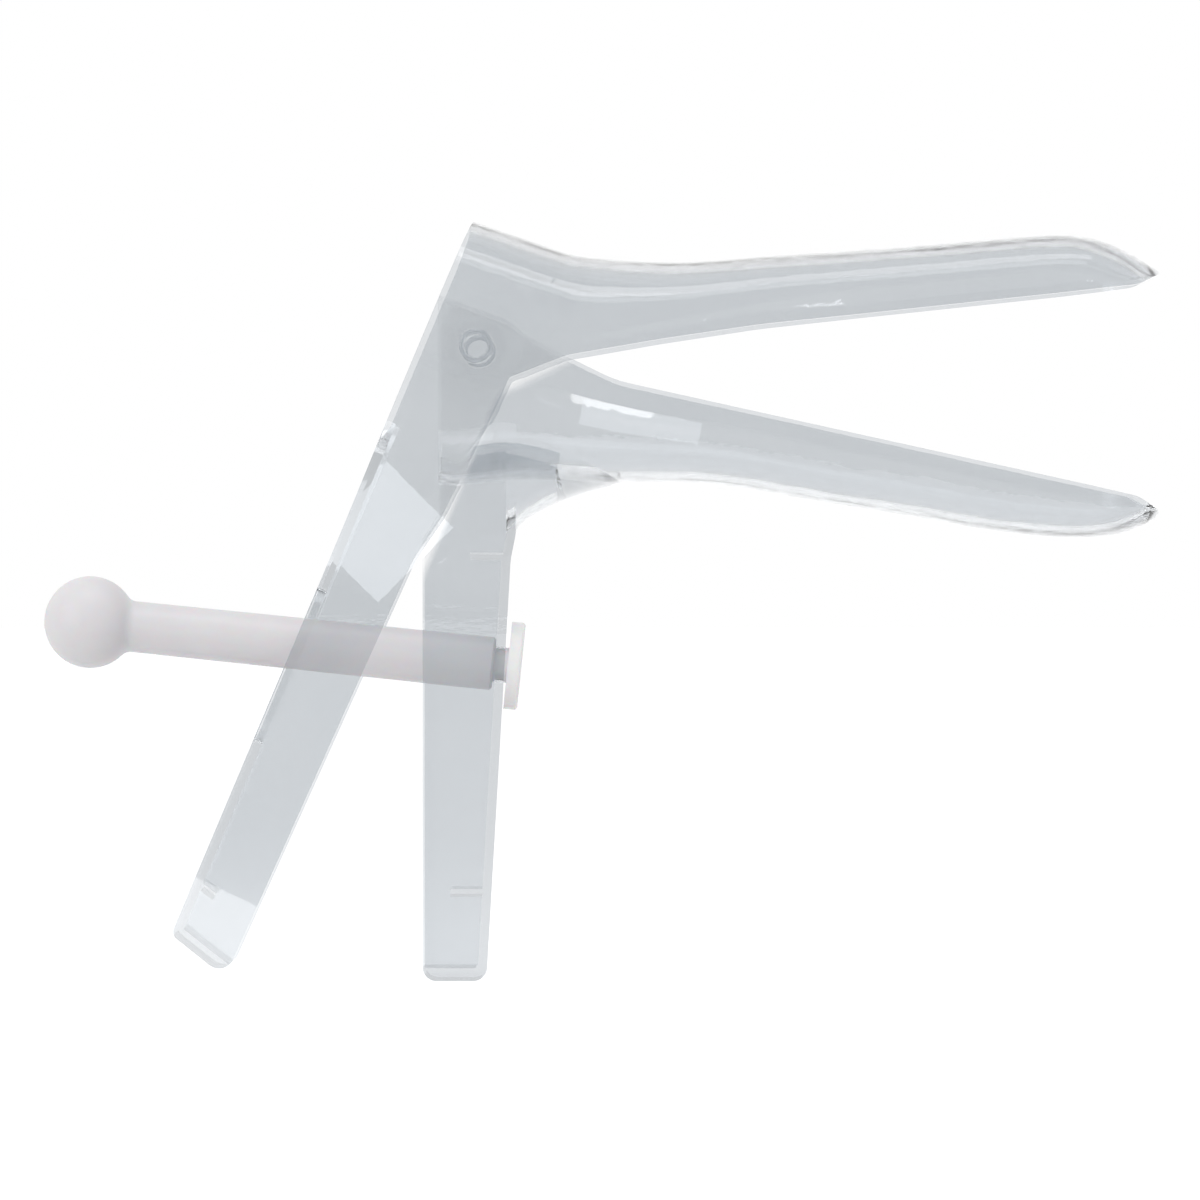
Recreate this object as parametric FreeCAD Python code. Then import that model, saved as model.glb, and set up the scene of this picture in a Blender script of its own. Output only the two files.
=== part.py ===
import FreeCAD, Part
import math
import os

# Bivalve speculum of clear plastic with a white locking rod. Sizes are in millimetres.
# The origin lies on the hinge axis, midway between the ears. +X runs along the blades to
# their tips, +Z is up and Y is across. The rear handle stands nearly upright, the front
# handle leans away from it, and the blades are held a little open.

# Walls and clearances
wall = 1.5
nest_clearance = 0.4          # between the nested side walls of the two valves
pin_clearance = 0.06          # trunnion in its ear, on the radius
stem_clearance = 0.08         # cap stem in the rear web, on the radius
stem_grip = 0.02              # press fit of the cap stem in the rod's socket, on the radius
seat_clearance = 0.1          # flange and shank from the two faces of the rear web
slot_clearance = 0.35         # rod in the front slot, on each side

# Widths, measured to the outside of the lower valve
throat_half_width = 16.5
blade_half_width = 13.9
handle_half_width = 9.2
shoulder_inset = 0.3          # the handle walls start this far inside the throat walls
waist_top = 4.0               # depths below the hinge between which the walls draw in
waist_bottom = 42.0
waist_lag = 2.0               # the front handle draws in this much lower
neck_start = 10.0             # distances along the blades between which they narrow
neck_end = 60.0
nest_end = 38.0               # the upper blade stays outside the lower one up to here
flush_start = 62.0            # and is as wide as the lower one from here
nose_length = 17.0
tip_x = 109.0
fullness = 0.68               # of the rounded sections, 0.55 is an ellipse and 1 a box
nose_power = 2.5              # exponent of the blades' outline at the tip, 2 is an ellipse

# Hinge
trunnion_radius = 2.8
trunnion_dimple_radius = 1.7
trunnion_dimple_depth = 0.8
boss_radius = 4.6
boss_height = 0.5

# Front face: the mouth and the front handle share one leaning plane
face_lean = 22.9              # degrees from upright
face_offset = 8.4             # from the hinge axis to the plane
mouth_rise = 18.5             # up the plane from the foot of that distance
mouth_arch = 14.2             # height of the mouth's rounded top
mouth_floor = 21.0            # down the plane to the edge of the handle's web
mouth_floor_drop = 9.0        # depth of the rounded bottom of the mouth
hood_dip = 18.8               # degrees that the hood falls towards the blade
hood_depth = 15.4             # from the plane to the start of the blade

# Front handle, along and behind the face plane
front_handle_reach = 104.9
front_handle_top_depth = 12.3
front_handle_end_depth = 10.6
front_end_slant = 15.5        # degrees off square
front_end_wall = 1.9
front_rib_height = 7.9        # above the end wall
rib_thickness = 1.2
front_rib_depth = 2.5
ear_depth = 15.2
ear_corner_along = 2.6
ear_waist_depth = 13.9
ear_waist_along = 27.0
ear_foot_along = 35.0
ear_round_along = 8.0         # where the ear's back edge meets its corner
front_top_round = 1.6         # corners of the front handle's end
front_foot_round = 2.5
waist_round = 12.0            # along the back edge of the ear
ear_back_round = 8.0
ear_corner_round = 1.2

# Rear handle
throat_front_x = -6.0
rear_edge_x = -8.6
rear_web_top_x = 5.4
rear_web_top_z = -33.8
rear_web_slope = 3.3          # degrees that the web leans in towards the foot
web_shoulder_x = 6.2          # the web reaches this far back inside the flare
web_shoulder_z = -29.8
foot_z = -100.8
foot_wall = 2.0
foot_corner = 2.2
rear_lip_width = 1.8
rear_lip_thickness = 0.6
rear_rib_z = -87.4
rear_rib_depth = 5.0
throat_step_z = -26.5         # the front edge steps out between these two heights
rear_edge_z = -30.5
step_round = 1.2
web_round = 6.0
foot_inner_round = 0.8

# Throat
throat_spring_z = -6.0
front_corner_z = 8.2
front_corner_round = 0.6
handle_top_z = -7.0            # the rear handle's walls join the throat below this

# Locking rod
rod_tilt = 5.9                # degrees, the ball end is higher
rod_cross_z = -50.6           # where its axis meets the outside of the rear web
ball_distance = 66.75         # from that point to the centre of the ball
ball_radius = 7.35
shank_radius_ball = 4.08
shank_radius_web = 4.25
ball_fillet = 1.9
stem_radius = 2.8
stem_depth = 11.0
flange_radius = 7.0
flange_thickness = 2.2
flange_edge = 0.5
shank_edge = 0.4
stem_end_gap = 0.3            # left free at the bottom of the rod's socket

# Motion: degrees that the upper valve turns to close the blades and to spread them
closing_angle = 17.5
opening_angle = 19.5

# Sections of the upper blade from the hood to the tip: place and height of the crest,
# lean of the section in degrees, height of its arch
upper_sections = [
    (19.5, 14.45, 17.0, 14.6),
    (26.0, 14.0, 11.0, 12.4),
    (35.0, 13.95, 5.0, 10.2),
    (45.2, 14.7, 0.0, 8.9),
    (61.2, 15.8, 0.0, 8.3),
    (77.2, 17.1, 0.0, 8.0),
    (89.0, 18.05, 0.0, 7.8),
    (96.5, 17.95, 0.0, 7.2),
    (101.5, 16.6, 0.0, 5.8),
    (105.2, 14.7, 0.0, 4.0),
    (107.8, 13.1, 0.0, 2.9),
    (108.9, 12.4, 0.0, 2.2),
]
# Lower edge of the upper valve from the ear to the tip, each with its rounding
upper_rim = [
    (14.3, -1.5, 8.0),
    (29.2, 1.1, 60.0),
    (45.2, 3.5, 60.0),
    (93.2, 8.6, 60.0),
    (105.2, 10.0, 5.0),
    (109.5, 12.2, 0.0),
]
# Sections of the lower blade: place, height of the underside, height of the spring line
lower_sections = [
    (-8.0, -21.2, -6.0),
    (4.0, -21.2, -6.0),
    (15.0, -21.3, -7.5),
    (25.2, -21.6, -10.0),
    (37.2, -21.9, -12.0),
    (53.2, -24.4, -15.2),
    (69.2, -27.0, -18.4),
    (83.0, -29.4, -21.4),
    (93.2, -30.4, -23.3),
    (101.2, -30.1, -24.7),
    (105.2, -29.0, -25.4),
    (107.8, -27.7, -25.0),
    (108.9, -26.8, -24.6),
]
# Upper edge of the lower valve from the front corner to the tip, each with its rounding
lower_rim = [
    (-0.2, 6.0, 6.0),
    (4.4, 4.4, 6.0),
    (8.9, 1.1, 8.0),
    (14.3, -1.6, 10.0),
    (22.0, -5.4, 20.0),
    (105.2, -23.7, 5.0),
    (109.5, -26.4, 0.0),
]
# Underside of the flare between the rear web and the lower blade
flare_line = [
    (5.8, -30.9),
    (7.2, -28.3),
    (10.0, -26.2),
    (13.4, -24.6),
    (17.4, -23.2),
    (22.0, -21.9),
    (27.0, -20.0),
    (31.0, -17.5),
]
skirt = 30.0                  # the sections run this far past their arches, to be cut
flare_skirt = 2.0
flare_inset = 1.0             # the flare starts this far inside the throat walls
hollow_end_x = 12.5           # the flare is solid past this, where its hollow would be a thin wedge
reach = 45.0                  # half length of the cutting prisms, past every wall


def vec(x, z, y=0.0):
    return FreeCAD.Vector(x, y, z)


def smooth_step(value, start, end):
    share = min(max((value - start) / (end - start), 0.0), 1.0)
    return 0.5 - 0.5 * math.cos(math.pi * share)


def line(a, b):
    return Part.LineSegment(a, b).toShape()


def bend(*poles):
    curve = Part.BezierCurve()
    curve.setPoles(list(poles))
    return curve.toShape()


def rounded_wire(corners):
    # corners are x, z and the radius of the arc that replaces the corner
    edges = []
    last = None
    first = None
    count = len(corners)
    for i in range(count):
        x, z, radius = corners[i]
        here = vec(x, z)
        if radius:
            before = (vec(*corners[i - 1][:2]) - here).normalize()
            after = (vec(*corners[(i + 1) % count][:2]) - here).normalize()
            half = before.getAngle(after) / 2
            start = here + before * (radius / math.tan(half))
            end = here + after * (radius / math.tan(half))
            middle = here + (before + after).normalize() * (radius / math.sin(half) - radius)
        else:
            start = end = here
        if last is not None:
            edges.append(line(last, start))
        else:
            first = start
        if radius:
            edges.append(Part.Arc(start, middle, end).toShape())
        last = end
    edges.append(line(last, first))
    return Part.Wire(edges)


def side_prism(corners, half=reach):
    face = Part.Face(rounded_wire(corners))
    face.translate(FreeCAD.Vector(0, -half, 0))
    return face.extrude(FreeCAD.Vector(0, 2 * half, 0))


# The leaning front plane: down runs along it to the handle's end, inward is behind it
lean = math.radians(face_lean)
down = vec(-math.sin(lean), -math.cos(lean))
inward = vec(math.cos(lean), -math.sin(lean))
face_foot = inward * -face_offset
dip = math.radians(hood_dip)
hood_run = vec(math.cos(dip), -math.sin(dip)) * (hood_depth / math.cos(lean - dip))


def on_face(depth, along, y=0.0):
    point = face_foot + inward * depth + down * along
    return FreeCAD.Vector(point.x, y, point.z)


def face_corner(depth, along, radius):
    point = on_face(depth, along)
    return (point.x, point.z, radius)


def lower_half_width(x):
    share = 1 - smooth_step(x, neck_start, neck_end)
    return blade_half_width + (throat_half_width - blade_half_width) * share


def nose_share(x):
    return (1 - past_nose(x) ** nose_power) ** (1 / nose_power)


def upper_half_width(x):
    nest = 1 - smooth_step(x, nest_end, flush_start)
    return lower_half_width(x) + (wall + nest_clearance) * nest


def arch_edges(crown, toward, height, half_width):
    # two quarters, from the right foot over the crown to the left foot
    side = FreeCAD.Vector(0, half_width, 0)
    right = crown + toward * height + side
    left = crown + toward * height - side
    rise = toward * (height * fullness)
    return [
        bend(right, right - rise, crown + side * fullness, crown),
        bend(crown, crown - side * fullness, left - rise, left),
    ], right, left


def arch_wire(crown, toward, height, half_width, skirt):
    # an arch with straight skirts below it, closed across the bottom
    arch, right, left = arch_edges(crown, toward, height, half_width)
    foot_right = right + toward * skirt
    foot_left = left + toward * skirt
    edges = [line(foot_right, right)] + arch
    edges += [line(left, foot_left), line(foot_left, foot_right)]
    return Part.Wire(edges)


def waist_edges(place, top, bottom, extra, lag):
    # the two sides of a handle seen from the front, drawing in from throat to handle width
    wide = throat_half_width - shoulder_inset + extra
    slim = handle_half_width + extra
    start = waist_top + lag
    end = waist_bottom + lag
    middle = (start + end) / 2
    edges = []
    for side in (1, -1):
        edges.append(line(place(side * wide, top), place(side * wide, start)))
        edges.append(
            bend(
                place(side * wide, start),
                place(side * wide, middle),
                place(side * slim, middle),
                place(side * slim, end),
            )
        )
        edges.append(line(place(side * slim, end), place(side * slim, bottom)))
    edges.append(line(place(slim, bottom), place(-slim, bottom)))
    return edges, place(wide, top), place(-wide, top)


def closed_face(edges):
    return Part.Face(Part.Wire(Part.__sortEdges__(edges)))


def upper_front(inset):
    # the mouth's arch and the front handle, in the leaning plane
    half_width = throat_half_width + nest_clearance + wall - inset
    crown = on_face(0, inset - mouth_rise)
    arch, right, left = arch_edges(crown, down, mouth_arch - inset, half_width)
    extra = nest_clearance + wall - inset

    def place(y, along):
        return on_face(0, along, y)

    bottom = front_handle_reach + reach
    sides, start_right, start_left = waist_edges(place, waist_top, bottom, extra, waist_lag)
    return closed_face(arch + sides + [line(right, start_right), line(left, start_left)])


def past_nose(x):
    return min(max((x - (tip_x - nose_length)) / nose_length, 0.0), 1.0)


def upper_loft(inset):
    crown = on_face(0, inset - mouth_rise) + hood_run
    half_width = throat_half_width + nest_clearance + wall - inset
    wires = [arch_wire(crown, down, mouth_arch - inset, half_width, skirt)]
    for x, z, tilt, height in upper_sections:
        turn = math.radians(tilt)
        toward = vec(-math.sin(turn), -math.cos(turn))
        middle_x = x - height * math.tan(turn)
        width = upper_half_width(middle_x) * nose_share(x) - inset
        crown = vec(x - inset * past_nose(x), z - inset)
        wires.append(arch_wire(crown, toward, height - inset, width, skirt))
    return Part.makeLoft(wires, True, False)


def slab(corners):
    return side_prism([(x, z, 0) for x, z in corners])


def across_slab(base, along, thickness, depth_from, depth_to):
    # a plate across the front handle, its upper face this far down the plane
    rise = math.tan(math.radians(front_end_slant))
    corners = []
    for depth in (depth_from, depth_to):
        point = on_face(depth, along + depth * rise)
        corners.append((point.x, point.z))
    for depth in (depth_to, depth_from):
        point = on_face(depth, along + depth * rise + thickness)
        corners.append((point.x, point.z))
    return slab(corners).common(base)


def web_x(z):
    return rear_web_top_x - (rear_web_top_z - z) * math.tan(math.radians(rear_web_slope))


# The locking rod's axis: outward runs from the rear web to the ball
tilt = math.radians(rod_tilt)
outward = vec(-math.cos(tilt), math.sin(tilt))
rod_start = vec(web_x(rod_cross_z), rod_cross_z)


def rod_on_face(turn):
    # place down the front plane where the rod crosses it, and the angle that it makes there
    angle = lean - math.radians(turn)
    behind = vec(math.cos(angle), -math.sin(angle))
    along = vec(-math.sin(angle), -math.cos(angle))
    gap = wall / 2 - face_offset - behind.dot(rod_start)
    point = rod_start + outward * (gap / behind.dot(outward))
    return point.dot(along), abs(angle - tilt)


def slot_cutter():
    half_width = shank_radius_web + slot_clearance
    ends = []
    for turn, side in ((opening_angle, -1), (-closing_angle, 1)):
        along, angle = rod_on_face(turn)
        half = shank_radius_web / math.cos(angle) + wall / 2 * math.tan(angle) + slot_clearance
        ends.append(along + side * (half - half_width))
    top, low = ends
    a = on_face(-wall, top, half_width)
    b = on_face(-wall, top - half_width)
    c = on_face(-wall, top, -half_width)
    d = on_face(-wall, low, -half_width)
    e = on_face(-wall, low + half_width)
    f = on_face(-wall, low, half_width)
    edges = [
        Part.Arc(a, b, c).toShape(),
        line(c, d),
        Part.Arc(d, e, f).toShape(),
        line(f, a),
    ]
    return Part.Face(Part.Wire(edges)).extrude(inward * (3 * wall))


def web_block():
    # holds the front handle's web below the rounded edge of the mouth
    half_width = throat_half_width + nest_clearance
    crown = on_face(-wall, mouth_floor)
    mouth, right, left = arch_edges(crown, down * -1, mouth_floor_drop, half_width)
    bottom = front_handle_reach + reach
    low_right = on_face(-wall, bottom, reach)
    low_left = on_face(-wall, bottom, -reach)
    high_right = on_face(-wall, mouth_floor - mouth_floor_drop, reach)
    high_left = on_face(-wall, mouth_floor - mouth_floor_drop, -reach)
    edges = [
        line(left, high_left),
        line(high_left, low_left),
        line(low_left, low_right),
        line(low_right, high_right),
        line(high_right, right),
    ]
    return closed_face(mouth + edges).extrude(inward * (2 * wall))


def cross_cylinder(radius, start, end):
    # round about the hinge axis, from one distance across to another, on both sides
    size = end - start
    right = Part.makeCylinder(radius, size, FreeCAD.Vector(0, start, 0), FreeCAD.Vector(0, 1, 0))
    left = Part.makeCylinder(radius, size, FreeCAD.Vector(0, -start, 0), FreeCAD.Vector(0, -1, 0))
    return Part.makeCompound([right, left])


def upper_region():
    slant = math.tan(math.radians(front_end_slant))
    end_depth = front_handle_end_depth
    corners = [
        face_corner(0, -reach, 0),
        face_corner(0, front_handle_reach, front_top_round),
        face_corner(end_depth, front_handle_reach + end_depth * slant, front_foot_round),
        face_corner(front_handle_top_depth, ear_foot_along, waist_round),
        face_corner(ear_waist_depth, ear_waist_along, waist_round),
        face_corner(ear_depth, ear_round_along, ear_back_round),
        face_corner(ear_depth, ear_corner_along, ear_corner_round),
    ]
    corners += upper_rim
    corners += [(tip_x + reach, upper_rim[-1][1], 0), (tip_x + reach, reach, 0)]
    return side_prism(corners)


def build_upper_valve():
    ear_outside = throat_half_width + nest_clearance + wall
    outer = upper_front(0).extrude(hood_run).fuse(upper_loft(0)).common(upper_region())
    ahead = hood_run * (wall / hood_depth)
    inner_face = upper_front(wall)
    inner_face.translate(ahead * -1)
    hollow = inner_face.extrude(hood_run + ahead).cut(web_block())
    shell = outer.cut(hollow).cut(upper_loft(wall))
    rise = front_end_wall / math.cos(math.radians(front_end_slant))
    end_along = front_handle_reach - rise
    end = across_slab(outer, end_along, reach, -wall, reach)
    rib = across_slab(outer, end_along - front_rib_height, rib_thickness, wall / 2, wall + front_rib_depth)
    boss = cross_cylinder(boss_radius, ear_outside - wall / 2, ear_outside + boss_height)
    valve = shell.fuse([end, rib, boss])
    hole = cross_cylinder(trunnion_radius + pin_clearance, throat_half_width, ear_outside + wall)
    valve = valve.cut(slot_cutter()).cut(hole)
    return valve.removeSplitter()


def lower_loft(inset):
    wires = []
    for x, underside, spring in lower_sections:
        width = lower_half_width(x) * nose_share(x) - inset
        crown = vec(x - inset * past_nose(x), underside + inset)
        wires.append(arch_wire(crown, vec(0, 1), spring - underside - inset, width, skirt))
    return Part.makeLoft(wires, True, False)


def flare_loft(inset):
    wires = []
    count = len(flare_line)
    for i in range(count):
        here = vec(*flare_line[i])
        before = vec(*flare_line[max(i - 1, 0)])
        after = vec(*flare_line[min(i + 1, count - 1)])
        course = (after - before).normalize()
        crown = here + vec(-course.z, course.x) * inset
        height = throat_spring_z - crown.z
        width = lower_half_width(crown.x) - inset - flare_inset
        wires.append(arch_wire(crown, vec(0, 1), height, width, flare_skirt))
    return Part.makeLoft(wires, True, False)


def rear_prism(extra, top, bottom, start, end):
    def place(y, depth):
        return FreeCAD.Vector(start, y, -depth)

    sides, right, left = waist_edges(place, top, bottom, extra, 0)
    return closed_face(sides + [line(right, left)]).extrude(FreeCAD.Vector(end - start, 0, 0))


def rear_region(inset):
    # side view of the rear handle, drawn in by the inset at the web and the foot
    foot = foot_z + (foot_wall if inset else 0)
    left = rear_edge_x - 3 * inset
    step = throat_front_x - 3 * inset
    corners = [
        (step, handle_top_z, 0),
        (step, throat_step_z, step_round),
        (left, rear_edge_z, step_round),
        (left, foot, 0 if inset else foot_corner),
        (web_x(foot) - inset, foot, foot_inner_round if inset else foot_corner),
        (web_x(rear_web_top_z) - inset, rear_web_top_z, web_round),
        (web_shoulder_x - inset, web_shoulder_z, 0),
        (web_shoulder_x - inset, handle_top_z, 0),
    ]
    return side_prism(corners)


def rim_region():
    low = foot_z / 2
    corners = [(throat_front_x, front_corner_z, front_corner_round)]
    corners += lower_rim
    corners += [(tip_x + reach, lower_rim[-1][1], 0), (tip_x + reach, low, 0), (throat_front_x, low, 0)]
    return side_prism(corners)


def build_lower_valve():
    top = waist_top - wall
    bottom = -foot_z + wall
    trough = lower_loft(0)
    handle = rear_prism(0, top, bottom, -reach, reach).common(rear_region(0))
    outer = trough.fuse(flare_loft(0)).common(rim_region()).fuse(handle)
    lip_x = rear_edge_x + rear_lip_width
    hollow = rear_prism(-wall, top, bottom, lip_x, reach)
    hollow = hollow.fuse(rear_prism(-wall - rear_lip_thickness, top, bottom, -reach, lip_x))
    hollow = hollow.common(rear_region(wall)).fuse(flare_loft(wall)).cut(trough)
    past_hollow = slab([(hollow_end_x, 0), (reach, 0), (reach, foot_z), (hollow_end_x, foot_z)])
    hollow = hollow.cut(past_hollow)
    ribs = []
    for z in (rear_web_top_z, rear_rib_z):
        x = web_x(z) - wall
        corners = [(x - rear_rib_depth, z), (x + wall / 2, z)]
        corners += [(x + wall / 2, z + rib_thickness), (x - rear_rib_depth, z + rib_thickness)]
        ribs.append(slab(corners).common(handle))
    shell = outer.cut(hollow).cut(lower_loft(wall)).fuse(ribs)
    end_y = throat_half_width + nest_clearance + wall + boss_height
    trunnion = cross_cylinder(trunnion_radius, throat_half_width - wall / 2, end_y)
    dimple = cross_cylinder(trunnion_dimple_radius, end_y - trunnion_dimple_depth, end_y + wall)
    valve = shell.fuse(trunnion).cut(dimple)
    radius = stem_radius + stem_clearance
    hole = Part.makeCylinder(radius, 4 * wall, rod_start - outward * wall, outward)
    return valve.cut(hole).removeSplitter()


def web_gap(radius):
    # room for a face square to the rod at the slanting web, beside its running clearance
    return radius * math.tan(abs(tilt - math.radians(rear_web_slope))) + seat_clearance


def turned(edges):
    # a solid turned about the rod's axis from half of its outline
    face = Part.Face(Part.Wire(edges))
    return face.revolve(FreeCAD.Vector(0, 0, 0), FreeCAD.Vector(1, 0, 0), 360)


def build_rod():
    # from the shank's end in the handle to the ball
    start = wall / math.cos(tilt) + web_gap(shank_radius_web)
    join = ball_radius + ball_fillet
    low = shank_radius_ball + ball_fillet
    fillet_x = ball_distance - math.sqrt(join ** 2 - low ** 2)
    share = ball_radius / join
    touch = vec(ball_distance + (fillet_x - ball_distance) * share, low * share)
    angle = (math.pi / 2 + math.atan2(low, ball_distance - fillet_x)) / 2
    middle_x = fillet_x + ball_fillet * math.cos(angle)
    middle = vec(middle_x, low - ball_fillet * math.sin(angle))
    foot = vec(fillet_x, shank_radius_ball)
    end = vec(ball_distance + ball_radius, 0)
    edges = [
        line(vec(start, 0), vec(start, shank_radius_web - shank_edge)),
        line(vec(start, shank_radius_web - shank_edge), vec(start + shank_edge, shank_radius_web)),
        line(vec(start + shank_edge, shank_radius_web), foot),
        Part.Arc(foot, middle, touch).toShape(),
        Part.Arc(touch, vec(ball_distance, ball_radius), end).toShape(),
        line(end, vec(start, 0)),
    ]
    middle_line = FreeCAD.Vector(1, 0, 0)
    length = start + stem_depth
    socket = Part.makeCylinder(stem_radius - stem_grip, length, FreeCAD.Vector(0, 0, 0), middle_line)
    return set_on_rod(turned(edges).cut(socket))


def build_cap():
    inner = -web_gap(flange_radius)
    outer = inner - flange_thickness
    stem_end = wall + stem_depth - stem_end_gap
    edge = flange_edge
    cut = edge * (1 - math.sqrt(0.5))
    round_start = vec(outer, flange_radius - edge)
    round_middle = vec(outer + cut, flange_radius - cut)
    round_end = vec(outer + edge, flange_radius)
    edges = [
        line(vec(outer, 0), round_start),
        Part.Arc(round_start, round_middle, round_end).toShape(),
        line(round_end, vec(inner, flange_radius)),
        line(vec(inner, flange_radius), vec(inner, stem_radius)),
        line(vec(inner, stem_radius), vec(stem_end - edge, stem_radius)),
        line(vec(stem_end - edge, stem_radius), vec(stem_end, stem_radius - edge)),
        line(vec(stem_end, stem_radius - edge), vec(stem_end, 0)),
        line(vec(stem_end, 0), vec(outer, 0)),
    ]
    return set_on_rod(turned(edges))


def set_on_rod(shape):
    # from a shape along +X to its place on the rod's axis
    turn = FreeCAD.Rotation(FreeCAD.Vector(1, 0, 0), outward)
    shape.Placement = FreeCAD.Placement(rod_start, turn)
    return shape


def main():
    pieces = {
        "upper_valve": build_upper_valve(),
        "lower_valve": build_lower_valve(),
        "locking_rod": build_rod(),
        "rod_end_cap": build_cap(),
    }
    os.makedirs("parts", exist_ok=True)
    for name, shape in pieces.items():
        shape.exportStep("parts/" + name + ".step")
        box = shape.BoundBox
        print(name, shape.isValid(), len(shape.Solids), round(shape.Volume, 1),
              [round(v, 2) for v in (box.XMin, box.XMax, box.YMin, box.YMax, box.ZMin, box.ZMax)])
    return pieces


if __name__ == "__main__":
    main()
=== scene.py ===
import bpy
import math
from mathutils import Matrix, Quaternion, Vector


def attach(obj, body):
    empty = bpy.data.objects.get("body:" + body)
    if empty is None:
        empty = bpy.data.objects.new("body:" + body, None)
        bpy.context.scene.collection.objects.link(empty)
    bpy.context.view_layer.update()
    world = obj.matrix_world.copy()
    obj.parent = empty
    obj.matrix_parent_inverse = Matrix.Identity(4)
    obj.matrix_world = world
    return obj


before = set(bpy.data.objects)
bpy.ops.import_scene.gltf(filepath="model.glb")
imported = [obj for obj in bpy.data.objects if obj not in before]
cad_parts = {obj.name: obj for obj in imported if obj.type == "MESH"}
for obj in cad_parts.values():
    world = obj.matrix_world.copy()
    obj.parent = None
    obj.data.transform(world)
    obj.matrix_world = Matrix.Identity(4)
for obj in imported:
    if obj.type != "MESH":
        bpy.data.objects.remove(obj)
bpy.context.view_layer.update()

# Bivalve speculum of clear plastic, a white rod through both handles.
# Metres; the hinge axis is at the origin, blades towards +X, the camera looks along +Y.

sceneView = dict(
    centre=(0.0196, -0.0402),   # x and z in the middle of the picture
    width=0.192,                # seen across the picture at the hinge's mid-plane
    distance=1.5,
    sensor=36.0,
    clipEnd=20.0,
)


def clearSelection():
    for item in bpy.context.selected_objects:
        item.select_set(False)


def newMaterial(name, slotColour):
    material = bpy.data.materials.new(name)
    material.use_nodes = True
    material.diffuse_color = (*slotColour, 1.0)
    material.node_tree.nodes.clear()
    return material


def addNode(tree, kind, x, y, **settings):
    node = tree.nodes.new(kind)
    node.location = (x, y)
    for key, value in settings.items():
        setattr(node, key, value)
    return node


def addInputs(group, kind, defaults):
    for name, default in defaults:
        socket = group.interface.new_socket(name, in_out="INPUT", socket_type=kind)
        socket.default_value = default


# Camera, square to the instrument's side
cameraData = bpy.data.cameras.new("productCamera")
cameraData.sensor_width = sceneView["sensor"]
cameraData.lens = sceneView["sensor"] * sceneView["distance"] / sceneView["width"]
cameraData.clip_end = sceneView["clipEnd"]
camera = bpy.data.objects.new("productCamera", cameraData)
camera.location = (sceneView["centre"][0], -sceneView["distance"], sceneView["centre"][1])
camera.rotation_euler = (math.radians(90), 0, 0)
bpy.context.scene.collection.objects.link(camera)
bpy.context.scene.camera = camera
print("camera set")

# Waves of an injection-moulded face and faint streaks where the plastic ran
flowLook = dict(scale=90.0, stretch=0.25, streaks=0.3, streakScale=420.0, waveRoughness=0.35)


def makeFlowGroup():
    group = bpy.data.node_groups.new("mouldFlow", "ShaderNodeTree")
    addInputs(group, "NodeSocketFloat", (
        ("Scale", flowLook["scale"]),
        ("Stretch", flowLook["stretch"]),
        ("Streaks", flowLook["streaks"]),
    ))
    group.interface.new_socket("Height", in_out="OUTPUT", socket_type="NodeSocketFloat")
    start = addNode(group, "NodeGroupInput", -900, 0)
    end = addNode(group, "NodeGroupOutput", 500, 0)
    coords = addNode(group, "ShaderNodeTexCoord", -900, -200)
    stretch = addNode(group, "ShaderNodeCombineXYZ", -700, 120)
    stretch.inputs[1].default_value = 1.0
    stretch.inputs[2].default_value = 1.0
    group.links.new(start.outputs["Stretch"], stretch.inputs[0])
    scaled = addNode(group, "ShaderNodeVectorMath", -500, 0, operation="MULTIPLY")
    group.links.new(coords.outputs["Object"], scaled.inputs[0])
    group.links.new(stretch.outputs[0], scaled.inputs[1])
    waves = addNode(group, "ShaderNodeTexNoise", -280, 120)
    waves.inputs["Detail"].default_value = 1.0
    waves.inputs["Roughness"].default_value = flowLook["waveRoughness"]
    group.links.new(scaled.outputs[0], waves.inputs["Vector"])
    group.links.new(start.outputs["Scale"], waves.inputs["Scale"])
    streaks = addNode(group, "ShaderNodeTexNoise", -280, -160)
    streaks.inputs["Scale"].default_value = flowLook["streakScale"]
    streaks.inputs["Detail"].default_value = 3.0
    group.links.new(scaled.outputs[0], streaks.inputs["Vector"])
    weaker = addNode(group, "ShaderNodeMath", -60, -160, operation="MULTIPLY")
    group.links.new(streaks.outputs["Fac"], weaker.inputs[0])
    group.links.new(start.outputs["Streaks"], weaker.inputs[1])
    both = addNode(group, "ShaderNodeMath", 160, 0, operation="ADD")
    group.links.new(waves.outputs["Fac"], both.inputs[0])
    group.links.new(weaker.outputs[0], both.inputs[1])
    group.links.new(both.outputs[0], end.inputs["Height"])
    return group


# Tint of the walls, with painted light: lighter where a wall stands inside the other valve's ears
# and handle, so that the overlap doesn't look darker than one valve
tintAndPaintedLightLook = dict(
    faceWay=(0.9212, 0.0, -0.3891),   # square to the leaning front face
    edge=0.0056,                      # how far behind the hinge the front handle ends
    earWay=(0.436, 0.0, -0.9),        # square to the lower edge of the ear
    earEdge=0.0076,
    fade=0.0012,
    # the pins in the ears' holes are left out of the painted light and keep the full wall tint
    pinRadius=0.00285,                # the pins show in the ears' holes
    cloud=0.12,
    cloudScale=38.0,
    cloudColour=(0.6, 0.63, 0.66, 1),
)


def pastEdge(group, coords, way, height):
    # distance of a point along a way, less the distance of an edge
    along = addNode(group, "ShaderNodeVectorMath", -800, height, operation="DOT_PRODUCT")
    along.inputs[1].default_value = way
    group.links.new(coords.outputs["Object"], along.inputs[0])
    past = addNode(group, "ShaderNodeMath", -560, height, operation="SUBTRACT")
    group.links.new(along.outputs["Value"], past.inputs[0])
    return past


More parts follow.
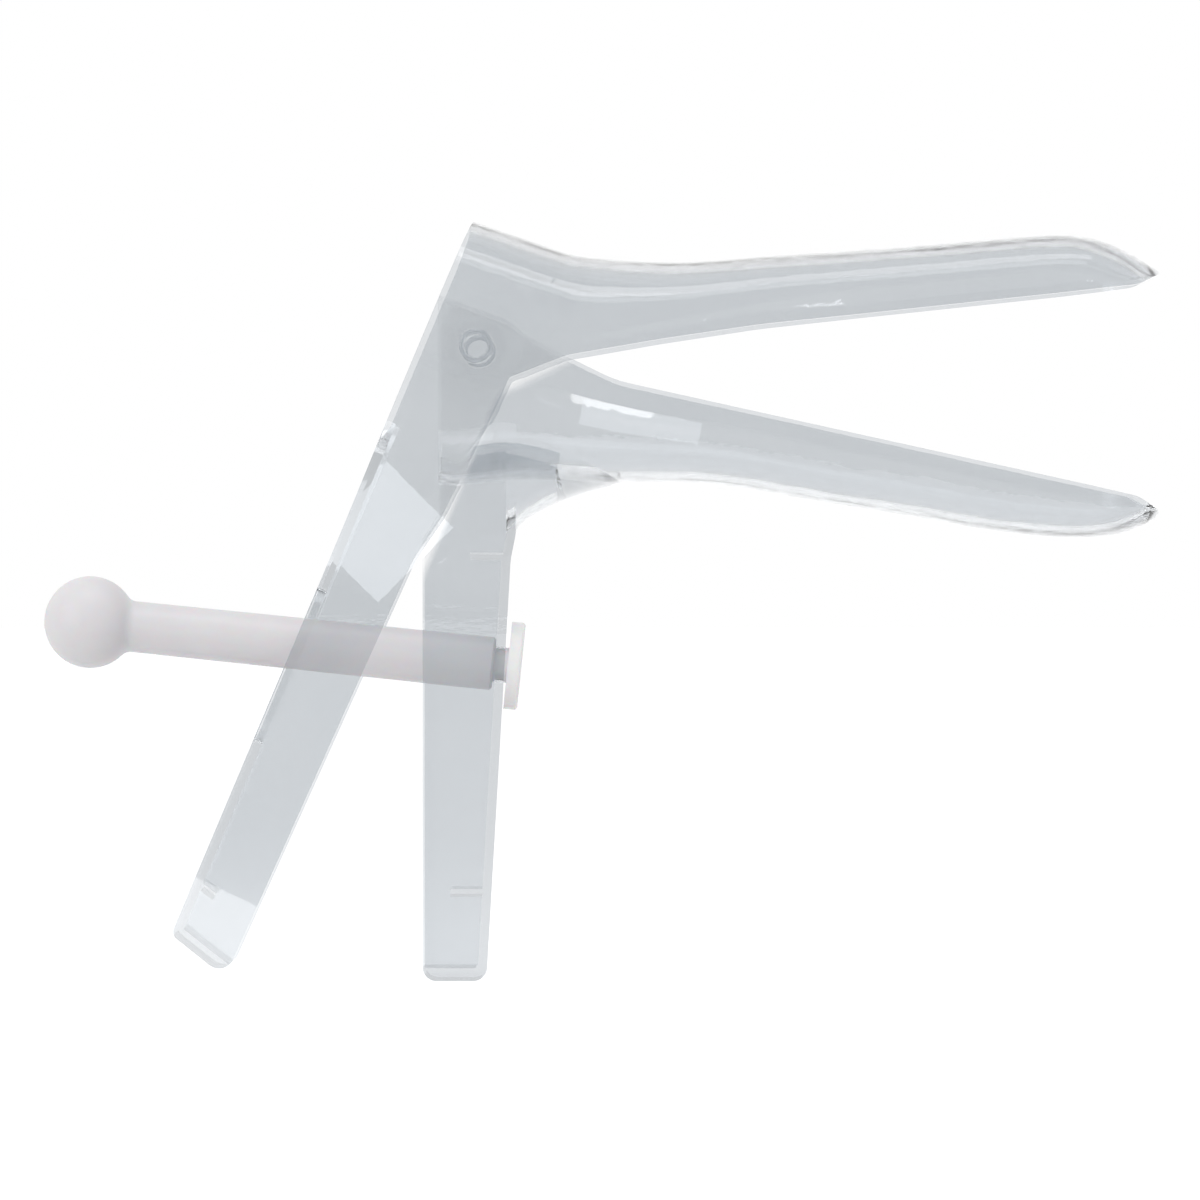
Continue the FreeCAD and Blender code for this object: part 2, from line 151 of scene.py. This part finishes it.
def fadeIn(group, past, start, height):
    share = addNode(group, "ShaderNodeMath", -380, height, operation="DIVIDE", use_clamp=True)
    group.links.new(past.outputs[0], share.inputs[0])
    group.links.new(start.outputs["Fade"], share.inputs[1])
    return share


def makeTintAndPaintedLightGroup():
    group = bpy.data.node_groups.new("wallTintAndPaintedLight", "ShaderNodeTree")
    addInputs(group, "NodeSocketColor", (("Single", (1, 1, 1, 1)), ("NestedPaintedLight", (1, 1, 1, 1))))
    addInputs(group, "NodeSocketFloat", (
        ("Edge", tintAndPaintedLightLook["edge"]),
        ("Fade", tintAndPaintedLightLook["fade"]),
        ("Cloud", tintAndPaintedLightLook["cloud"]),
    ))
    group.interface.new_socket("Color", in_out="OUTPUT", socket_type="NodeSocketColor")
    start = addNode(group, "NodeGroupInput", -1100, 0)
    end = addNode(group, "NodeGroupOutput", 700, 0)
    coords = addNode(group, "ShaderNodeTexCoord", -1100, -260)
    pastHandle = pastEdge(group, coords, tintAndPaintedLightLook["faceWay"], -160)
    group.links.new(start.outputs["Edge"], pastHandle.inputs[1])
    handleShare = fadeIn(group, pastHandle, start, -160)
    pastEar = pastEdge(group, coords, tintAndPaintedLightLook["earWay"], -40)
    pastEar.inputs[1].default_value = tintAndPaintedLightLook["earEdge"]
    earShare = fadeIn(group, pastEar, start, -40)
    outside = addNode(group, "ShaderNodeMath", -200, -100, operation="MULTIPLY")
    group.links.new(handleShare.outputs[0], outside.inputs[0])
    group.links.new(earShare.outputs[0], outside.inputs[1])
    flat = addNode(group, "ShaderNodeVectorMath", -800, -300, operation="MULTIPLY")
    flat.inputs[1].default_value = (1.0, 0.0, 1.0)
    group.links.new(coords.outputs["Object"], flat.inputs[0])
    fromHinge = addNode(group, "ShaderNodeVectorMath", -600, -300, operation="LENGTH")
    group.links.new(flat.outputs[0], fromHinge.inputs[0])
    pin = addNode(group, "ShaderNodeMath", -400, -300, operation="LESS_THAN")
    pin.inputs[1].default_value = tintAndPaintedLightLook["pinRadius"]
    group.links.new(fromHinge.outputs["Value"], pin.inputs[0])
    # painted light: the share is 0 inside the other valve's handle and ears, where the lighter
    # nested colour is painted; the pins keep the full tint
    share = addNode(group, "ShaderNodeMath", -180, -240, operation="MAXIMUM")
    group.links.new(outside.outputs[0], share.inputs[0])
    group.links.new(pin.outputs[0], share.inputs[1])
    mix = addNode(group, "ShaderNodeMix", 0, 60, data_type="RGBA")
    group.links.new(share.outputs[0], mix.inputs["Factor"])
    group.links.new(start.outputs["NestedPaintedLight"], mix.inputs["A"])
    group.links.new(start.outputs["Single"], mix.inputs["B"])
    cloud = addNode(group, "ShaderNodeTexNoise", -360, -420)
    cloud.inputs["Scale"].default_value = tintAndPaintedLightLook["cloudScale"]
    cloud.inputs["Detail"].default_value = 2.0
    group.links.new(coords.outputs["Object"], cloud.inputs["Vector"])
    amount = addNode(group, "ShaderNodeMath", 0, -420, operation="MULTIPLY")
    group.links.new(cloud.outputs["Fac"], amount.inputs[0])
    group.links.new(start.outputs["Cloud"], amount.inputs[1])
    shade = addNode(group, "ShaderNodeMix", 320, 0, data_type="RGBA", blend_type="MULTIPLY")
    shade.inputs["B"].default_value = tintAndPaintedLightLook["cloudColour"]
    group.links.new(amount.outputs[0], shade.inputs["Factor"])
    group.links.new(mix.outputs["Result"], shade.inputs["A"])
    group.links.new(shade.outputs["Result"], end.inputs["Color"])
    return group


flowGroup = makeFlowGroup()
tintAndPaintedLightGroup = makeTintAndPaintedLightGroup()

# Clear plastic of both valves
clearLook = dict(
    wall=(0.765, 0.783, 0.80, 1),
    # painted light: the lower valve's walls where they nest in the upper valve are tinted nearly
    # clear, so the overlap doesn't look darker
    lowerNestedPaintedLight=(0.985, 0.985, 0.985, 1),
    bend=1.12,                          # low, so that thick corners don't turn black
    gloss=1.5,
    glossRoughness=0.05,
    roughness=0.03,
    wave=0.05,
    waveDepth=0.002,
    shadow=(0.97, 0.97, 0.975, 1),
    depthColour=(0.48, 0.5, 0.52, 1),   # seen through ribs and edges
    depthDensity=26.0,
)


def makeClearPlastic(name, single, nestedPaintedLight):
    material = newMaterial(name, (0.8, 0.82, 0.84))
    tree = material.node_tree
    out = addNode(tree, "ShaderNodeOutputMaterial", 600, 0)
    shader = addNode(tree, "ShaderNodeBsdfPrincipled", 300, 0)
    shader.inputs["IOR"].default_value = clearLook["bend"]
    shader.inputs["Coat Weight"].default_value = 1.0
    shader.inputs["Coat IOR"].default_value = clearLook["gloss"]
    shader.inputs["Coat Roughness"].default_value = clearLook["glossRoughness"]
    shader.inputs["Transmission Weight"].default_value = 1.0
    shader.inputs["Metallic"].default_value = 0.0
    shader.inputs["Roughness"].default_value = clearLook["roughness"]
    # wall tint, made lighter by painted light where the lower valve nests in the upper one
    tintWithPaintedLight = addNode(tree, "ShaderNodeGroup", 0, 100, node_tree=tintAndPaintedLightGroup)
    tintWithPaintedLight.inputs["Single"].default_value = single
    tintWithPaintedLight.inputs["NestedPaintedLight"].default_value = nestedPaintedLight
    tree.links.new(tintWithPaintedLight.outputs["Color"], shader.inputs["Base Color"])
    flow = addNode(tree, "ShaderNodeGroup", -200, -200, node_tree=flowGroup)
    bump = addNode(tree, "ShaderNodeBump", 60, -200)
    bump.inputs["Strength"].default_value = clearLook["wave"]
    bump.inputs["Distance"].default_value = clearLook["waveDepth"]
    tree.links.new(flow.outputs["Height"], bump.inputs["Height"])
    tree.links.new(bump.outputs["Normal"], shader.inputs["Normal"])
    # light passes almost freely, so that the rod inside the handles stays lit
    path = addNode(tree, "ShaderNodeLightPath", 100, 500)
    pale = addNode(tree, "ShaderNodeBsdfTransparent", 300, 300)
    pale.inputs["Color"].default_value = clearLook["shadow"]
    soft = addNode(tree, "ShaderNodeMath", 320, 480, operation="MAXIMUM")
    tree.links.new(path.outputs["Is Shadow Ray"], soft.inputs[0])
    tree.links.new(path.outputs["Is Diffuse Ray"], soft.inputs[1])
    blend = addNode(tree, "ShaderNodeMixShader", 500, 150)
    tree.links.new(soft.outputs[0], blend.inputs[0])
    tree.links.new(shader.outputs[0], blend.inputs[1])
    tree.links.new(pale.outputs[0], blend.inputs[2])
    tree.links.new(blend.outputs[0], out.inputs["Surface"])
    depth = addNode(tree, "ShaderNodeVolumeAbsorption", 300, -320)
    depth.inputs["Color"].default_value = clearLook["depthColour"]
    depth.inputs["Density"].default_value = clearLook["depthDensity"]
    tree.links.new(depth.outputs[0], out.inputs["Volume"])
    return material


# White plastic of the rod and its cap
rodLook = dict(colour=(0.76, 0.755, 0.775, 1), shade=(0.7, 0.695, 0.715, 1))
capLook = dict(colour=(0.93, 0.93, 0.94, 1), shade=(0.87, 0.87, 0.88, 1))
whiteFinish = dict(
    roughness=0.42,
    glow=0.35,            # share of light that goes under the surface
    glowDepth=0.004,
    cloudScale=160.0,
    grainScale=1400.0,
    grain=0.08,
    grainDepth=0.0004,
)


def makeWhitePlastic(name, colour, shade):
    material = newMaterial(name, colour[:3])
    tree = material.node_tree
    out = addNode(tree, "ShaderNodeOutputMaterial", 600, 0)
    shader = addNode(tree, "ShaderNodeBsdfPrincipled", 300, 0)
    shader.inputs["IOR"].default_value = 1.5
    shader.inputs["Roughness"].default_value = whiteFinish["roughness"]
    shader.inputs["Subsurface Weight"].default_value = whiteFinish["glow"]
    shader.inputs["Subsurface Scale"].default_value = whiteFinish["glowDepth"]
    coords = addNode(tree, "ShaderNodeTexCoord", -700, 0)
    cloud = addNode(tree, "ShaderNodeTexNoise", -500, 100)
    cloud.inputs["Scale"].default_value = whiteFinish["cloudScale"]
    cloud.inputs["Detail"].default_value = 4.0
    tree.links.new(coords.outputs["Object"], cloud.inputs["Vector"])
    mix = addNode(tree, "ShaderNodeMix", 0, 100, data_type="RGBA")
    mix.inputs["A"].default_value = shade
    mix.inputs["B"].default_value = colour
    tree.links.new(cloud.outputs["Fac"], mix.inputs["Factor"])
    tree.links.new(mix.outputs["Result"], shader.inputs["Base Color"])
    grain = addNode(tree, "ShaderNodeTexNoise", -500, -200)
    grain.inputs["Scale"].default_value = whiteFinish["grainScale"]
    grain.inputs["Detail"].default_value = 3.0
    tree.links.new(coords.outputs["Object"], grain.inputs["Vector"])
    bump = addNode(tree, "ShaderNodeBump", 0, -200)
    bump.inputs["Strength"].default_value = whiteFinish["grain"]
    bump.inputs["Distance"].default_value = whiteFinish["grainDepth"]
    tree.links.new(grain.outputs["Fac"], bump.inputs["Height"])
    tree.links.new(bump.outputs["Normal"], shader.inputs["Normal"])
    tree.links.new(shader.outputs[0], out.inputs["Surface"])
    return material


upperClear = makeClearPlastic("upperClear", clearLook["wall"], clearLook["wall"])
lowerClear = makeClearPlastic("lowerClear", clearLook["wall"], clearLook["lowerNestedPaintedLight"])
rodWhite = makeWhitePlastic("rodWhite", **rodLook)
capWhite = makeWhitePlastic("capWhite", **capLook)

for nodeName, material in (
    ("upper_valve", upperClear),
    ("lower_valve", lowerClear),
    ("locking_rod", rodWhite),
    ("rod_end_cap", capWhite),
):
    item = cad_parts[nodeName]
    item.data.materials.clear()
    item.data.materials.append(material)
print("materials set")

# Rounded rims on the two hinge pins
pinRim = dict(
    radius=0.00225,
    thickness=0.00042,
    outside=0.01888,   # middle of the rim, from the instrument's mid-plane
    flatness=0.75,     # of its thickness along the hinge
    around=64,
    section=16,
    smoothAngle=35,
)


def makePinRim(side, sideName):
    clearSelection()
    bpy.ops.mesh.primitive_torus_add(
        major_segments=pinRim["around"],
        minor_segments=pinRim["section"],
        major_radius=pinRim["radius"],
        minor_radius=pinRim["thickness"],
        location=(0, side * pinRim["outside"], 0),
        rotation=(math.radians(90), 0, 0),
    )
    rim = bpy.context.object
    rim.name = "pinRim" + sideName
    bpy.ops.object.mode_set(mode="EDIT")
    bpy.ops.mesh.select_all(action="SELECT")
    bpy.ops.transform.resize(value=(1, pinRim["flatness"], 1))
    bpy.ops.mesh.normals_make_consistent(inside=False)
    bpy.ops.object.mode_set(mode="OBJECT")
    bpy.ops.object.transform_apply(location=True, rotation=True, scale=True)
    bpy.ops.object.shade_smooth_by_angle(angle=math.radians(pinRim["smoothAngle"]))
    rim.data.materials.clear()
    rim.data.materials.append(lowerClear)
    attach(rim, "lower")


makePinRim(-1, "Near")
makePinRim(1, "Far")
print("hinge pins rimmed")

# Pale floor and white surroundings
stageLook = dict(
    floorHeight=-0.1009,   # just under the rear handle's foot
    size=40.0,
    colour=0.8,
    lift=0.5,              # brings the floor to white where it is seen directly or in the plastic
    ambient=0.74,
)


def seenDirectly(tree):
    # 1 for rays from the camera, off gloss or through clear plastic
    path = addNode(tree, "ShaderNodeLightPath", -500, -100)
    seen = addNode(tree, "ShaderNodeMath", -250, -100, operation="ADD")
    tree.links.new(path.outputs["Is Camera Ray"], seen.inputs[0])
    tree.links.new(path.outputs["Is Glossy Ray"], seen.inputs[1])
    seenToo = addNode(tree, "ShaderNodeMath", -80, -100, operation="ADD", use_clamp=True)
    tree.links.new(seen.outputs[0], seenToo.inputs[0])
    tree.links.new(path.outputs["Is Transmission Ray"], seenToo.inputs[1])
    return seenToo


def makeStageMaterial(colour, lift):
    material = newMaterial("paleStage", (0.9, 0.9, 0.9))
    tree = material.node_tree
    out = addNode(tree, "ShaderNodeOutputMaterial", 700, 0)
    matt = addNode(tree, "ShaderNodeBsdfDiffuse", 200, 100)
    matt.inputs["Color"].default_value = (colour, colour, colour, 1)
    strength = addNode(tree, "ShaderNodeMath", 80, -100, operation="MULTIPLY")
    strength.inputs[1].default_value = lift
    tree.links.new(seenDirectly(tree).outputs[0], strength.inputs[0])
    glow = addNode(tree, "ShaderNodeEmission", 250, -100)
    tree.links.new(strength.outputs[0], glow.inputs["Strength"])
    both = addNode(tree, "ShaderNodeAddShader", 480, 0)
    tree.links.new(matt.outputs[0], both.inputs[0])
    tree.links.new(glow.outputs[0], both.inputs[1])
    tree.links.new(both.outputs[0], out.inputs["Surface"])
    return material


clearSelection()
bpy.ops.mesh.primitive_plane_add(size=stageLook["size"], location=(0, 0, stageLook["floorHeight"]))
floor = bpy.context.object
floor.name = "floor"
bpy.ops.object.transform_apply(location=True, rotation=True, scale=True)
floor.data.materials.append(makeStageMaterial(stageLook["colour"], stageLook["lift"]))

world = bpy.data.worlds.new("studio")
bpy.context.scene.world = world
world.use_nodes = True
worldTree = world.node_tree
worldTree.nodes.clear()
worldOut = addNode(worldTree, "ShaderNodeOutputWorld", 700, 0)
sky = addNode(worldTree, "ShaderNodeBackground", 450, 0)
sky.inputs["Color"].default_value = (1, 1, 1, 1)
level = addNode(worldTree, "ShaderNodeMapRange", 150, 0)
level.inputs["To Min"].default_value = stageLook["ambient"]
level.inputs["To Max"].default_value = 1.0
worldTree.links.new(seenDirectly(worldTree).outputs[0], level.inputs["Value"])
worldTree.links.new(level.outputs["Result"], sky.inputs["Strength"])
worldTree.links.new(sky.outputs[0], worldOut.inputs["Surface"])

# Two soft lamps light the object; the pale cards in front only show as reflections in its walls,
# the ones behind only through them
lampLooks = (
    dict(name="softboxAbove", place=(0.05, -0.25, 0.75), aim=(0.02, 0, -0.03),
         size=(0.6, 0.3), power=1.3, turn=0),
    dict(name="softboxLeft", place=(-0.6, -0.5, 0.15), aim=(0.0, 0, -0.03),
         size=(0.3, 0.5), power=1.2, turn=0),
)
frontCards = (
    dict(name="cardThroat", place=(0.030, -0.12, -0.0175), aim=(0.030, 0, -0.0175),
         size=(0.024, 0.009), glow=6.0, turn=-12),
    dict(name="cardEnd", place=(-0.043, -0.035, -0.0928), aim=(-0.043, 0, -0.0928),
         size=(0.014, 0.012), glow=3.6, turn=-25),
)
backCards = (
    dict(name="cardBehindHandle", place=(-0.0167, 0.05, -0.0286), aim=(-0.0167, 0, -0.0286),
         size=(0.0164, 0.0175), glow=0.34, turn=45),
    dict(name="cardBehindThroat", place=(0.0262, 0.05, -0.0114), aim=(0.0262, 0, -0.0114),
         size=(0.0050, 0.020), glow=0.22, turn=-78),
)


def addLamp(look, power):
    data = bpy.data.lights.new(look["name"], "AREA")
    data.shape = "RECTANGLE"
    data.size, data.size_y = look["size"]
    data.energy = power
    lamp = bpy.data.objects.new(look["name"], data)
    lamp.location = look["place"]
    way = (Vector(look["aim"]) - Vector(look["place"])).to_track_quat("-Z", "Y")
    lamp.rotation_euler = (way @ Quaternion((0, 0, 1), math.radians(look["turn"]))).to_euler()
    lamp.visible_camera = False
    bpy.context.scene.collection.objects.link(lamp)
    return lamp


for look in lampLooks:
    addLamp(look, look["power"])
for look in frontCards + backCards:
    # power that makes the card's face as bright as its glow
    card = addLamp(look, look["glow"] * math.pi * look["size"][0] * look["size"][1])
    card.visible_diffuse = False
    card.visible_transmission = look in backCards
    card.visible_glossy = look in frontCards

bpy.context.scene.view_settings.view_transform = "Standard"
print("stage set")
